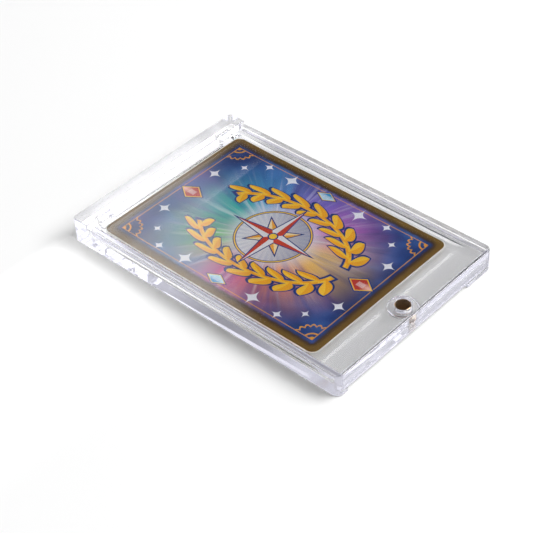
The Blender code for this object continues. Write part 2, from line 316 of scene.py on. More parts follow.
def edge_profile(low, high, round_low, round_high):
    """Insets e (1 - sin v) and heights low + e (1 - cos v) of a rounded edge, and the same turned over."""
    turn = np.linspace(0.0, pi / 2, EDGE_STEPS + 1)
    inset = 1 - np.sin(turn)
    rise = 1 - np.cos(turn)
    height = np.concatenate([low + round_low * rise, high - round_high * rise[::-1]])
    return np.concatenate([round_low * inset, round_high * inset[::-1]]), height


def lifted(rings, heights):
    """Rings of flat points with a third coordinate added, one height for each ring."""
    third = np.broadcast_to(heights[:, None, None], rings.shape[:2] + (1,))
    return np.concatenate([rings, third], axis=-1)


def edge_rings(arcs, low, high, round_low, round_high, steps=CORNER_STEPS):
    """Rings of an outline, each drawn inwards by the edge profile's inset, at the profile's height."""
    inset, height = edge_profile(low, high, round_low, round_high)
    return lifted(np.stack([outline_points(arcs, float(step), steps) for step in inset]), height)


def grid_faces(rows, columns, closed=True):
    """Four-sided faces between neighbouring rows of points, each row closed or open."""
    row = np.arange(rows - 1)[:, None] * columns
    step = np.arange(columns if closed else columns - 1)[None, :]
    after = (step + 1) % columns
    corners = [row + step, row + after, row + columns + after, row + columns + step]
    return np.stack(corners, axis=-1).reshape(-1, 4).tolist()


def new_object(name, data):
    """An object at the origin, linked to the scene."""
    item = bpy.data.objects.new(name, data)
    bpy.context.scene.collection.objects.link(item)
    return item


def mesh_object(name, points, faces):
    """A mesh object from an array of points and a list of faces."""
    mesh = bpy.data.meshes.new(name)
    mesh.from_pydata(points.reshape(-1, 3), [], faces)
    return new_object(name, mesh)


def new_piece(name, points, caps=()):
    """A closed piece from rings of points, with doubles merged and normals outwards."""
    piece = mesh_object(name, points, grid_faces(*points.shape[:2]) + list(caps))
    shape = bmesh.new()
    shape.from_mesh(piece.data)
    bmesh.ops.remove_doubles(shape, verts=shape.verts, dist=WELD)
    bmesh.ops.dissolve_degenerate(shape, edges=shape.edges, dist=WELD)
    bmesh.ops.recalc_face_normals(shape, faces=shape.faces)
    shape.to_mesh(piece.data)
    shape.free()
    piece.data.shade_smooth()
    return piece


def stack(name, points):
    """A closed block from rings of points, with a flat face at each end."""
    rows, columns = points.shape[:2]
    ring = np.arange(columns)
    return new_piece(name, points, (ring[::-1].tolist(), (ring + (rows - 1) * columns).tolist()))


def block(name, arcs, low, high, round_low=0.0, round_high=0.0, steps=CORNER_STEPS, across_x=False):
    """A closed block: an outline along an edge profile. With across_x its height runs along X."""
    points = edge_rings(arcs, low, high, round_low, round_high, steps)
    return stack(name, np.roll(points, 1, axis=-1) if across_x else points)


def sloped_well(arcs, floor, parting, top, sizes):
    """Rings of a well whose near end is a soft slope.

    The slope is a part of a cosine: at a share t of its length its height is the depth times
    (cos a - cos (a + t (b - a))) over (cos a - cos b).
    """
    first = 0.08 * pi
    last = 0.90 * pi
    turn = np.linspace(first, last, RAMP_STEPS + 1)
    height = floor + (parting - floor) * (np.cos(first) - np.cos(turn)) / (np.cos(first) - np.cos(last))
    back = sizes.ramp * np.linspace(0.0, 1.0, RAMP_STEPS + 1)
    slope = (back[-1] - back[-2]) / (height[-1] - height[-2])
    height = np.append(height, top)
    back = np.append(back, back[-1] + (top - parting) * slope)
    outline = outline_points(arcs, 0.0)
    rings = np.repeat(outline[None], len(height), axis=0)
    close = rings[..., 1] < outline[:, 1].min() + 2 * sizes.well_corner
    rings[..., 1] -= np.where(close, back[:, None], 0.0)
    return lifted(rings, height)


def relief_prism(half_width, low, sizes):
    """Rings of a long shallow prism across X, with a slope at each end.

    Along a slope t runs over a half turn. The height over low is the depth times three quarters of t over a
    half turn and one quarter of (1 - cos t) over 2.
    """
    turn = np.linspace(0.0, pi, RAMP_STEPS + 1)
    rise = sizes.relief * (0.75 * turn / pi + 0.25 * (1 - np.cos(turn)) / 2)
    near = LID_LOW.y + sizes.relief_start
    far = HINGE.y - HINGE_RADIUS / 2
    first = near + sizes.relief_slope * turn / pi
    last = far - sizes.relief_fade * turn[::-1] / pi
    along = np.concatenate([first, last, [far, near]])
    height = low + np.concatenate([rise, rise[::-1], [-OVERRUN, -OVERRUN]])
    profile = np.stack([along, height], axis=-1)
    rings = lifted(np.repeat(profile[None], 2, axis=0), np.array([-half_width, half_width]))
    return np.roll(rings, 1, axis=-1)


def apply_all(piece):
    """Replaces the piece's mesh by what its modifiers make of it."""
    view = bpy.context.evaluated_depsgraph_get()
    mesh = bpy.data.meshes.new_from_object(piece.evaluated_get(view))
    piece.modifiers.clear()
    piece.data = mesh


def combine(piece, tool, operation="DIFFERENCE"):
    """Cuts the tool out of the piece, or joins it on, and removes the tool."""
    step = piece.modifiers.new("combine", "BOOLEAN")
    step.operation = operation
    step.solver = "EXACT"
    step.object = tool
    apply_all(piece)
    bpy.data.objects.remove(tool, do_unlink=True)


def soften(piece, width):
    """Rounds the edges that cutting left sharp, keeps flat faces flat and empties the material slots."""
    bevel = piece.modifiers.new("cut_edges", "BEVEL")
    bevel.width = width
    bevel.segments = 3
    bevel.limit_method = "ANGLE"
    bevel.angle_limit = CUT_ANGLE
    bevel.use_clamp_overlap = True
    bevel.miter_outer = "MITER_ARC"
    apply_all(piece)
    piece.data.shade_smooth()
    piece.data.set_sharp_from_angle(angle=CUT_ANGLE)
    piece.modifiers.new("flat_faces", "WEIGHTED_NORMAL").keep_sharp = True
    piece.data.materials.clear()


# Shader arithmetic

def plug(socket, value):
    """Links a field to a socket, or sets the socket to a constant."""
    if isinstance(value, Field):
        value.tree.links.new(value.socket, socket)
    else:
        socket.default_value = value


def arithmetic(operation, swapped=False):
    """A method that adds one Math node."""
    def method(self, *others):
        values = (self, *others)
        return self.math(operation, *(reversed(values) if swapped else values))
    return method


class Field:
    """A number or colour that changes over a surface. Sums and products of fields become Math nodes."""

    def __init__(self, tree, socket):
        self.tree = tree
        self.socket = socket

    def math(self, operation, *values):
        """One Math node with these values."""
        node = self.tree.nodes.new("ShaderNodeMath")
        node.operation = operation
        for socket, value in zip(node.inputs, values):
            plug(socket, value)
        return Field(self.tree, node.outputs[0])

    __add__ = arithmetic("ADD")
    __sub__ = arithmetic("SUBTRACT")
    __rsub__ = arithmetic("SUBTRACT", swapped=True)
    __mul__ = arithmetic("MULTIPLY")
    __truediv__ = arithmetic("DIVIDE")
    __pow__ = arithmetic("POWER")
    size = arithmetic("ABSOLUTE")
    root = arithmetic("SQRT")
    fraction = arithmetic("FRACT")
    whole = arithmetic("FLOOR")
    sine = arithmetic("SINE")
    cosine = arithmetic("COSINE")
    angle = arithmetic("ARCTAN2")
    least = arithmetic("MINIMUM")
    most = arithmetic("MAXIMUM")
    over = arithmetic("GREATER_THAN")

    def rise(self, low, high):
        """0 below low and 1 above high, with a smooth step between. It falls where high is below low."""
        node = self.tree.nodes.new("ShaderNodeMapRange")
        node.interpolation_type = "SMOOTHSTEP"
        for place, value in ((0, self), (1, min(low, high)), (2, max(low, high))):
            plug(node.inputs[place], value)
        node.inputs[3].default_value = float(low > high)
        node.inputs[4].default_value = float(low < high)
        return Field(self.tree, node.outputs[0])

    def rise_mm(self, low, high, origin=0.0):
        """The same step between two places, given in millimetres from an origin."""
        return self.rise(origin + low * MM, origin + high * MM)


def hypotenuse(first, second):
    """The root of the sum of two squares."""
    return (first * first + second * second).root()


def axes(tree, kind="Object"):
    """The three coordinates of a surface point as fields."""
    place = tree.nodes.new("ShaderNodeTexCoord")
    split = tree.nodes.new("ShaderNodeSeparateXYZ")
    tree.links.new(place.outputs[kind], split.inputs[0])
    return [Field(tree, socket) for socket in split.outputs]


def vector(*values):
    """Three fields or numbers, a field first, as one vector."""
    tree = values[0].tree
    node = tree.nodes.new("ShaderNodeCombineXYZ")
    for socket, value in zip(node.inputs, values):
        plug(socket, value)
    return Field(tree, node.outputs[0])


def noise(place, scale, detail=2.0, roughness=0.5):
    """Soft noise between 0 and 1, with a mean of one half."""
    node = place.tree.nodes.new("ShaderNodeTexNoise")
    plug(node.inputs["Vector"], place)
    node.inputs["Scale"].default_value = scale
    node.inputs["Detail"].default_value = detail
    node.inputs["Roughness"].default_value = roughness
    return Field(place.tree, node.outputs["Fac"])


def light_path(tree, *titles):
    """Outputs of one Light Path node as fields."""
    node = tree.nodes.new("ShaderNodeLightPath")
    return [Field(tree, node.outputs[title]) for title in titles]


def blend(amount, first, second, mode="MIX"):
    """The first colour where the amount is 0 and the second where it is 1."""
    node = amount.tree.nodes.new("ShaderNodeMix")
    node.data_type = "RGBA"
    node.blend_type = mode
    plug(node.inputs[0], amount)
    for place, value in ((6, first), (7, second)):
        plug(node.inputs[place], value if isinstance(value, Field) else (*value, 1.0))
    return Field(amount.tree, node.outputs[2])


def painted(tone, *layers):
    """A tone with layers over it, each a mask and the colour that shows where the mask is 1."""
    for mask, paint in layers:
        tone = blend(mask, tone, paint)
    return tone


def grained(tone, grain, strength=0.5):
    """A tone made lighter and darker by the paper's grain."""
    return blend(grain * strength + 0.5, tone, MID_GREY, "OVERLAY")


def colour_wheel(place, stops):
    """A colour ramp read at a field, with stops as pairs of a place and a colour."""
    node = place.tree.nodes.new("ShaderNodeValToRGB")
    plug(node.inputs[0], place)
    ramp = node.color_ramp
    ramp.interpolation = "EASE"
    for _ in range(len(stops) - 2):
        ramp.elements.new(0.5)
    for element, (position, tone) in zip(ramp.elements, stops):
        element.position = position
        element.color = (*tone, 1.0)
    return Field(place.tree, node.outputs[0])


# Shared node groups

def hairlines(tree, spacing, turn):
    """Fine straight scratches in two directions: noise on stretched coordinates, cut off near its top."""
    x, y, z = axes(tree)
    total = None
    for extra in (0.0, 1.9):
        cosine = (turn + extra).cosine()
        sine = (turn + extra).sine()
        along = (x * cosine + y * sine) * spacing
        beside = (y * cosine - x * sine) * spacing
        lines = noise(vector(along * 0.025, beside, z * spacing * 0.5), 1.0, 1.0).rise(0.69, 0.76)
        total = lines if total is None else total.most(lines)
    return total


def specks(tree, spacing, size):
    """Dust: small rounds about a few random cell points."""
    place = tree.nodes.new("ShaderNodeTexCoord")
    cells = tree.nodes.new("ShaderNodeTexVoronoi")
    tree.links.new(place.outputs["Object"], cells.inputs["Vector"])
    plug(cells.inputs["Scale"], spacing)
    split = tree.nodes.new("ShaderNodeSeparateColor")
    tree.links.new(cells.outputs["Color"], split.inputs[0])
    chosen = Field(tree, split.outputs[0]).rise(0.80, 0.82)
    return (size - Field(tree, cells.outputs["Distance"])).rise(0.0, 0.03) * chosen


def paper(tree, scale):
    """Paper grain: fine noise with a broader one under it, about nought."""
    x, y, z = axes(tree)
    place = vector(x * scale, y * scale, z * scale)
    return noise(place, 1.0, 2.0, 0.6) * 0.6 + noise(place, 0.22, 2.0, 0.6) * 0.4 - 0.5


NODE_GROUPS = {
    "fine_hairlines": (hairlines, "Mask", (("Spacing", 900.0), ("Turn", 0.5))),
    "dust_specks": (specks, "Mask", (("Spacing", 260.0), ("Size", 0.12))),
    "paper_grain": (paper, "Grain", (("Scale", 4000.0),)),
}


def new_group(name):
    """A shader node group with number inputs and one output."""
    pattern, output, inputs = NODE_GROUPS[name]
    tree = bpy.data.node_groups.new(name, "ShaderNodeTree")
    for title, value in inputs:
        socket = tree.interface.new_socket(title, in_out="INPUT", socket_type="NodeSocketFloat")
        socket.default_value = value
    tree.interface.new_socket(output, in_out="OUTPUT", socket_type="NodeSocketFloat")
    given = tree.nodes.new("NodeGroupInput")
    result = pattern(tree, *(Field(tree, given.outputs[title]) for title, _ in inputs))
    plug(tree.nodes.new("NodeGroupOutput").inputs[output], result)
    return tree


def use_group(tree, name, **values):
    """Places a shared node group with its own values and returns its output."""
    node = tree.nodes.new("ShaderNodeGroup")
    node.node_tree = bpy.data.node_groups.get(name) or new_group(name)
    for title, value in values.items():
        node.inputs[title].default_value = value
    return Field(tree, node.outputs[0])


# Materials

def new_material(name, roughness=0.5, metallic=0.0, transmission=0.0, ior=1.5, specular=0.5, base=None):
    """A material with one Principled shader, and its constant values set on the shader's own sockets."""
    material = bpy.data.materials.new(name)
    material.use_nodes = True
    shader = material.node_tree.nodes["Principled BSDF"]
    shader.inputs["Roughness"].default_value = roughness
    shader.inputs["Metallic"].default_value = metallic
    shader.inputs["Transmission Weight"].default_value = transmission
    shader.inputs["IOR"].default_value = ior
    shader.inputs["Specular IOR Level"].default_value = specular
    if base is not None:
        shader.inputs["Base Color"].default_value = (*base, 1.0)
    return material, material.node_tree, shader


def add_bump(shader, height, strength, distance):
    """Feeds a height through a Bump node to the shader's Normal."""
    bump = height.tree.nodes.new("ShaderNodeBump")
    bump.inputs["Strength"].default_value = strength
    bump.inputs["Distance"].default_value = distance
    plug(bump.inputs["Height"], height)
    height.tree.links.new(bump.outputs[0], shader.inputs["Normal"])


def clear_plastic(name, finish, top, turn, seat_shade=None):
    """Clear plastic with hairlines and a little dust on top.

    The faces of the side gap and the slopes before the card are satin. Faces at the height of the skirt's
    underside are tinted dark grey as painted shade.
    """
    material, tree, shader = new_material(name, transmission=1.0, ior=finish.ior, base=finish.tint)
    x, y, z = axes(tree)
    handled = z.rise_mm(*HANDLED, top)
    lines = use_group(tree, "fine_hairlines", Spacing=1500.0, Turn=turn)
    dust = use_group(tree, "dust_specks", Spacing=150.0, Size=0.035)
    wear = (lines * finish.hairlines).most(dust * finish.dust)
    beside = x.size() - LID_HIGH.x
    satin = beside.rise_mm(*GAP_INNER) * beside.rise_mm(*GAP_OUTER) * z.rise_mm(*GAP_HEIGHT)
    past = y - BASE_LOW.y
    slope = past.rise_mm(*SLOPE_NEAR) * past.rise_mm(*SLOPE_FAR) * z.rise_mm(*SLOPE_HEIGHT)
    rough = (wear * handled).most(satin * finish.satin).most(slope * finish.slope)
    plug(shader.inputs["Roughness"], rough)
    # Painted shade: faces at the skirt's underside are tinted dark grey
    if seat_shade is not None:
        plug(shader.inputs["Base Color"], blend(z.rise_mm(*SEAT_SHADE, seat_shade), finish.tint, finish.seat_shade))
    return material


def plated_metal(name, finish):
    """Gold-coloured plating with turning marks and patches of wear, and painted sheen that makes its side
    pale.
    """
    material, tree, shader = new_material(name, metallic=1.0)
    x, y, z = axes(tree)
    from_middle = hypotenuse(x, y - MAGNET_Y)
    rings = (from_middle * TURNING_MARKS).sine() * 0.5 + 0.5
    patches = noise(vector(x, y, z), 900.0, 3.0).rise(0.58, 0.72)
    lines = use_group(tree, "fine_hairlines", Spacing=2600.0, Turn=0.2)
    # Painted sheen: the magnet's side is made pale
    side = from_middle.rise_mm(*SHEEN_SIDE, MAGNET_RADIUS)
    tone = blend((patches * 0.5).most(side * 0.9), finish.plating, finish.wear_and_sheen)
    plug(shader.inputs["Base Color"], tone)
    plug(shader.inputs["Roughness"], rings * 0.02 + lines * 0.06 + patches * 0.04 + finish.roughness)
    return material


# The printed card

def signed_field(x, y, half_width, half_length, radius):
    """Distance outside a rounded rectangle, negative inside it."""
    across = x.size() - (half_width - radius)
    along = y.size() - (half_length - radius)
    outside = hypotenuse(across.most(0.0), along.most(0.0))
    return outside + across.most(along).least(0.0) - radius


def star_inside(x, y, reach, waist):
    """How far a point is inside a star with four points.

    In the sector where x is the larger, its side runs from the tip (reach, 0) to the notch (waist, waist).
    """
    longer = x.size().most(y.size())
    shorter = x.size().least(y.size())
    side = (reach - longer) * waist - shorter * (reach - waist)
    return side * (1.0 / ((waist ** 2 + (reach - waist) ** 2) ** 0.5))


def glint_inside(x, y, middle_x, middle_y, reach):
    """How far a point is inside a sparkle, where the roots of its two distances make less than reach's."""
    across = (x - middle_x * MM).size() * (1.0 / (reach * MM))
    along = (y - middle_y * MM).size() * (1.0 / (reach * MM))
    return 1.0 - (across ** 0.5 + along ** 0.5)


def card_plane(tree, card):
    """X and Y from the card's middle, and the distance outside the field that the border leaves."""
    x, y = axes(tree)[:2]
    y = y - CARD_Y
    return x, y, signed_field(x, y, CARD_HIGH.x - card.border, CARD_HALF - card.border, card.field_corner)


def printed_face(card):
    """The face of the card: a blue field with a burst of colour, a golden wreath and a compass star."""
    material, tree, shader = new_material("card_face_print", roughness=0.42, specular=0.25)
    x, y, inside = card_plane(tree, card)
    place = vector(x, y, 0.0)
    grain = use_group(tree, "paper_grain", Scale=PRINT_GRAIN)
    from_middle = hypotenuse(x, y)
    turn = y.angle(x)

    # Blue field with broad clouds of violet and lighter blue
    clouds = noise(place, 38.0, 3.0, 0.6)
    mist = noise(vector(x + 0.31, y * 0.6 + 0.17, 0.0), 46.0, 3.0, 0.55)

    # Burst: colours round the middle, broken into soft rays
    ray_place = vector(turn.cosine() * 3.2, turn.sine() * 3.2, from_middle * 9.0)
    rays = noise(ray_place, 1.7, 4.0, 0.62)
    wheel = colour_wheel((turn * (0.5 / pi) + 0.5 + (rays - 0.5) * 0.10).fraction(), (
        (0.00, (0.80, 0.10, 0.30)),
        (0.13, (0.90, 0.30, 0.08)),
        (0.26, (0.95, 0.62, 0.16)),
        (0.38, (0.62, 0.16, 0.58)),
        (0.50, (0.25, 0.16, 0.72)),
        (0.62, (0.10, 0.42, 0.80)),
        (0.74, (0.06, 0.55, 0.48)),
        (0.86, (0.10, 0.50, 0.10)),
        (1.00, (0.80, 0.10, 0.30)),
    ))
    burst = from_middle.rise_mm(42.0, 14.0) * (rays.rise(0.28, 0.58) * 0.60 + 0.40)
    beams = noise(ray_place, 3.6, 3.0, 0.6).rise(0.50, 0.74) * from_middle.rise_mm(40.0, 12.0)

    # Fine inner frame line and corner ornaments
    frame_line = (inside + FRAME_INSET).size().rise_mm(0.16, 0.08)
    corner_x = x.size() - (CARD_HIGH.x - card.border - FRAME_INSET)
    corner_y = y.size() - (CARD_HALF - card.border - FRAME_INSET)
    from_corner = hypotenuse(corner_x, corner_y)
    petals = (corner_y.angle(corner_x) * 10.0).cosine()
    scallop = (from_corner - petals.size() * (0.9 * MM) - 5.4 * MM).size().rise_mm(0.34, 0.22)
    arcs = (from_corner - 2.6 * MM).size().rise_mm(0.34, 0.22).most(from_corner.rise_mm(1.3, 1.2))
    ornament = scallop.most(arcs) * from_corner.rise_mm(8.6, 8.5) * inside.rise_mm(-1.5, -1.6)

    tone = painted(
        card.deep_blue,
        (clouds.rise(0.36, 0.66), card.mid_blue),
        (mist.rise(0.46, 0.70) * 0.75, card.violet),
        (burst, wheel),
        (beams * 0.62, card.glow),
        (from_middle.rise_mm(19.0, 9.0) * 0.85, card.glow),
        (frame_line.most(ornament) * 0.9, card.leaf_shade))
    tone = wreath(card, tone, x, y)
    tone = medallion(card, tone, x, y, from_middle, turn)
    tone = grained(sparkles(card, tone, x, y), grain)

    # Border with fine flecks, and the pale line of the cut along its outer edge, which is also widened as a
    # painted highlight on the card's edge
    fleck = noise(place, 2600.0, 2.0, 0.7).rise(0.50, 0.72)
    band = noise(vector(x * 0.4, y * 0.4, 0.0), 60.0, 2.0).rise(0.3, 0.7)
    worn_edge = inside + (noise(place, 420.0, 3.0, 0.6) - 0.5) * (0.9 * MM)
    border_tone = painted(
        card.border_colour,
        (fleck * 0.5 + band * 0.35, card.border_light),
        (worn_edge.rise_mm(1.6, 0.2) * 0.75, card.border_dark))
    # Partly the stock's own colour at the cut, partly a painted highlight of the card's edge
    rim = signed_field(x, y, CARD_HIGH.x, CARD_HALF, card.corner)
    tone = painted(
        tone,
        (worn_edge.rise_mm(-1.1, 0.1) * 0.85, card.border_dark),
        (worn_edge.rise_mm(-0.35, 0.35), border_tone),
        (rim.rise_mm(-0.40, -0.32), card.stock))

    plug(shader.inputs["Base Color"], tone)
    lines = use_group(tree, "fine_hairlines", Spacing=1200.0, Turn=1.1)
    plug(shader.inputs["Roughness"], grain * 0.12 + lines * 0.05 + 0.42)
    add_bump(shader, grain, 0.25, 0.01 * MM)
    return material


def wreath(card, tone, x, y):
    """A laurel wreath round the middle, open at its top.

    Its stem is an oval. An angle runs along it from the bottom up each side, and h is the distance from it
    in leaf lengths. Leaves lie in slanted cells of that angle: a leaf is where the distance from its cell's
    middle is under 4 w h (1 - h), with w the leaf's width.
    """
    across = x.size() * (1.0 / card.wreath_across)
    along = y * (1.0 / card.wreath_along)
    rise = across.angle(along * -1.0)
    beside = hypotenuse(across, along) - 1.0
    mean = (card.wreath_across + card.wreath_along) / 2
    height = beside.size() * (mean / card.leaf) / (1.15 - rise * 0.12)
    cell = rise * (LEAVES / pi) - height * 0.85 + beside.over(0.0) * 0.35
    from_rib = cell.fraction() - 0.5
    number = cell.whole()
    present = number.over(0.5) * (1.0 - number.over(LEAVES - 2.5))
    depth = height * (1.0 - height) * (4 * LEAF_WIDTH) - from_rib.size()
    stem = rise.rise(0.16, 0.18) * rise.rise(2.62, 2.60) * beside.size().rise(0.040, 0.028)
    stem_dark = rise.rise(0.12, 0.14) * rise.rise(2.68, 2.66) * beside.size().rise(0.075, 0.060)
    gold = painted(
        card.leaf_shade,
        (from_rib.rise(-0.03, 0.03) * 0.75 + height * 0.2, card.leaf_gold),
        (from_rib.size().rise(0.030, 0.018) * 0.8, card.leaf_shade))
    return painted(
        tone,
        ((depth.rise(-0.115, -0.085) * present).most(stem_dark), card.outline),
        ((depth.rise(0.015, 0.045) * present).most(stem), gold))


def medallion(card, tone, x, y, from_middle, turn):
    """A pale disc with a fine ring, and a compass star with eight points on it."""
    radius = card.medallion
    shade = (x * -0.6 + y * 0.8) * (0.5 / radius) + 0.5
    spokes = ((turn * 36.0).cosine() * 0.5 + 0.5) * from_middle.rise_mm(5.0, 11.0)
    face = painted(
        (0.40, 0.42, 0.52), (shade.rise(0.0, 1.0), card.pale), (spokes * 0.22, card.mid_blue))
    from_ring = (from_middle - radius).size()
    tone = painted(
        tone,
        (from_middle.rise_mm(SOFT, -SOFT, radius) * 0.86, face),
        (from_ring.rise_mm(0.55, 0.45), card.outline),
        (from_ring.rise_mm(0.26, 0.18), card.leaf_gold))

    half = 0.5 ** 0.5
    for across, along, reach, waist, warm, pale in (
        ((x + y) * half, (y - x) * half, 0.72, 0.16, (0.92, 0.42, 0.05), (0.95, 0.78, 0.42)),
        (x, y, 1.22, 0.17, card.warm, card.pale),
    ):
        depth = star_inside(across, along, radius * reach, radius * waist)
        facet = (across * along * (across.size() - along.size())).over(0.0)
        tone = painted(
            tone,
            (depth.rise_mm(-0.42, -0.34), card.outline),
            (depth.rise_mm(-SOFT, SOFT), blend(facet, warm, pale)))
    return painted(
        tone, (from_middle.rise_mm(1.75, 1.65), card.outline),
        (from_middle.rise_mm(1.30, 1.20), card.leaf_gold))


def sparkles(card, tone, x, y):
    """White sparkles, alike in each quarter of the field, and gems beyond the wreath's ends and sides."""
    across = x.size()
    along = y.size()
    total = None
    for glint in ((24.6, 14.0, 3.9), (11.5, 36.2, 3.2), (25.4, 24.5, 2.5), (20.0, 30.8, 2.1)):
        depth = glint_inside(across, along, *glint).rise(0.0, 0.07)
        total = depth if total is None else total.most(depth)
    tone = blend(total, tone, (0.92, 0.94, 1.0))
    for middle, half, face, shine in (
        ((25.4, 0.0), (2.0, 3.6), (0.03, 0.36, 0.70), (0.60, 0.86, 0.98)),
        ((0.0, 35.2), (3.0, 4.2), (0.60, 0.05, 0.035), (1.0, 0.62, 0.50)),
    ):
        gem_x = (across - middle[0] * MM) * (1.0 / (half[0] * MM))
        gem_y = (along - middle[1] * MM) * (1.0 / (half[1] * MM))
        depth = 1.0 - gem_x.size() - gem_y.size()
        gem = painted(
            face,
            ((gem_x * -0.5 + gem_y * 0.5 + 0.5).rise(0.25, 0.95), shine),
            (gem_x.size().most(gem_y.size()).rise(0.34, 0.30) * 0.35, WHITE))
        tone = painted(
            tone,
            (depth.rise(-0.26, -0.20), card.outline),
            (depth.rise(-0.10, -0.04), card.leaf_gold),
            (depth.rise(0.04, 0.10), gem))
    return tone


def printed_back(card):
    """The underside of the card: a plain framed panel with a soft gradient and plain bands."""
    material, tree, shader = new_material("card_back_print", roughness=0.45, specular=0.25)
    x, y, inside = card_plane(tree, card)
    grain = use_group(tree, "paper_grain", Scale=PRINT_GRAIN)
    panel = signed_field(x, y - 17.0 * MM, CARD_HIGH.x - 5.0 * MM, 21.0 * MM, 1.5 * MM)
    hills = noise(vector(x, y, 0.0), 55.0, 4.0)
    picture = blend((y * 30.0 + hills).rise(0.3, 1.4), (0.10, 0.34, 0.30), (0.42, 0.66, 0.86))
    tone = painted(
        (0.72, 0.60, 0.36),
        (y.rise(-0.04, 0.04), (0.86, 0.80, 0.62)),
        (panel.rise_mm(0.6, 0.5), card.border_light),
        (panel.rise_mm(SOFT, -SOFT), picture))
    for middle, half, shade in ((-14.0, 4.0, 0.55), (-25.0, 4.0, 0.50), (-36.0, 2.0, 0.35)):
        band = signed_field(x, y - middle * MM, CARD_HIGH.x - 6.0 * MM, half * MM, 1.0 * MM)
        tone = blend(band.rise_mm(SOFT, -SOFT) * shade, tone, (0.95, 0.93, 0.86))
    tone = blend(inside.rise_mm(-SOFT, SOFT), tone, (0.62, 0.48, 0.16))
    plug(shader.inputs["Base Color"], grained(tone, grain))
    plug(shader.inputs["Roughness"], grain * 0.12 + 0.45)
    return material


def card_stock(card):
    """The card's cut edge: pale stock with the darker core line of layered card in its middle."""
    material, tree, shader = new_material("card_stock_edge", roughness=0.8, specular=0.2)
    z = axes(tree)[2]
    grain = use_group(tree, "paper_grain", Scale=9000.0)
    core = (z - (CARD_LOW.z + CARD_HIGH.z) / 2).size().rise_mm(0.05, 0.03)
    tone = blend(core * 0.7, card.stock, (0.16, 0.16, 0.20))
    plug(shader.inputs["Base Color"], grained(tone, grain, 0.8))
    add_bump(shader, grain, 0.4, 0.02 * MM)
    return material


# Pieces

class CASE_OT_base(bpy.types.Operator):
    """Make the clear base with its rails, well, bar and recesses"""

    bl_idname = "card_case.base"
    bl_label = "Clear base"

    def execute(self, context):
        sizes = context.scene.case_sizes
        edge = sizes.edge
        bay = LID_HIGH.x + sizes.gap
        parting = HINGE.z - HINGE_RADIUS - sizes.gap
        floor = parting - sizes.card_top_play - (CARD_HIGH.z - CARD_LOW.z)
        near = BASE_LOW.y
        bar_near = HINGE.y + HINGE_RADIUS + sizes.gap
        above = BASE_HIGH.z + OVERRUN

        body = box_arcs(BASE_LOW, BASE_HIGH, sizes.near_corner, sizes.far_corner)
        piece = block("clear_base", body, 0.0, LID_HIGH.z, edge, edge)
        bar = box_arcs((BASE_LOW.x, bar_near), BASE_HIGH, edge, sizes.far_corner)
        combine(piece, block("bar", bar, floor, BASE_HIGH.z, edge, edge), "UNION")

        bay_low = (-bay, near - OVERRUN)
        skirt_far = near + sizes.skirt + sizes.gap
        for name, far, low in (("bay", bar_near, parting), ("skirt_room", skirt_far, sizes.lip)):
            combine(piece, block(name, box_arcs(bay_low, (bay, far), sizes.cut_edge * 2), low, above))
        recess_low = (sizes.recess_left - bay, near - OVERRUN)
        recess_high = (bay - sizes.recess_right, near + sizes.recess_depth)
        recess = box_arcs(recess_low, recess_high, sizes.cut_edge * 4)
        combine(piece, block("finger_recess", recess, -OVERRUN, sizes.lip + sizes.gap))

        well_half = bay - sizes.ledge
        ramp_foot = near + sizes.near_land + sizes.ramp
        well = box_arcs((-well_half, ramp_foot), (well_half, bar_near - sizes.far_land), sizes.well_corner)
        combine(piece, stack("well", sloped_well(well, floor, parting, parting + OVERRUN, sizes)))

        reach = LID_HIGH.y - HINGE.y
        half_thick = sizes.tab_thickness / 2
        sine = np.sin(sizes.open_angle)
        cosine = np.cos(sizes.open_angle)
        run = (HINGE.z - parting - half_thick * cosine) / np.tan(sizes.open_angle)
        drop = reach * sine + half_thick * cosine
        slot_near = HINGE.y + run - half_thick * sine - sizes.gap
        slot_far = HINGE.y + np.hypot(reach, half_thick) + sizes.gap
        slot_low = HINGE.z - drop - sizes.gap
        slot_high = HINGE.z + half_thick + sizes.gap
        slot = box_arcs((slot_near, slot_low), (slot_far, slot_high), sizes.cut_edge * 2)
        half = sizes.tab_width / 2 + sizes.gap
        for place in (sizes.tab_inset - bay, bay - sizes.tab_inset):
            combine(piece, block("slot", slot, place - half, place + half, across_x=True))

        pocket_radius = MAGNET_RADIUS + sizes.gap
        for name, radius, low in (
            ("boss_recess", pocket_radius + sizes.boss_wall + sizes.gap, BASE_MAGNET_HIGH.z),
            ("base_pocket", pocket_radius, BASE_MAGNET_LOW.z - sizes.gap),
        ):
            combine(piece, block(name, magnet_circle(radius), low, above, sizes.cut_edge, 0.0, ROUND_STEPS))

        soften(piece, sizes.cut_edge)
        finish = context.scene.case_plastic
        piece.data.materials.append(clear_plastic("clear_plastic_base", finish, BASE_HIGH.z, 0.9))
        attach(piece, "base")
        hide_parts("base_shell")
        return {"FINISHED"}


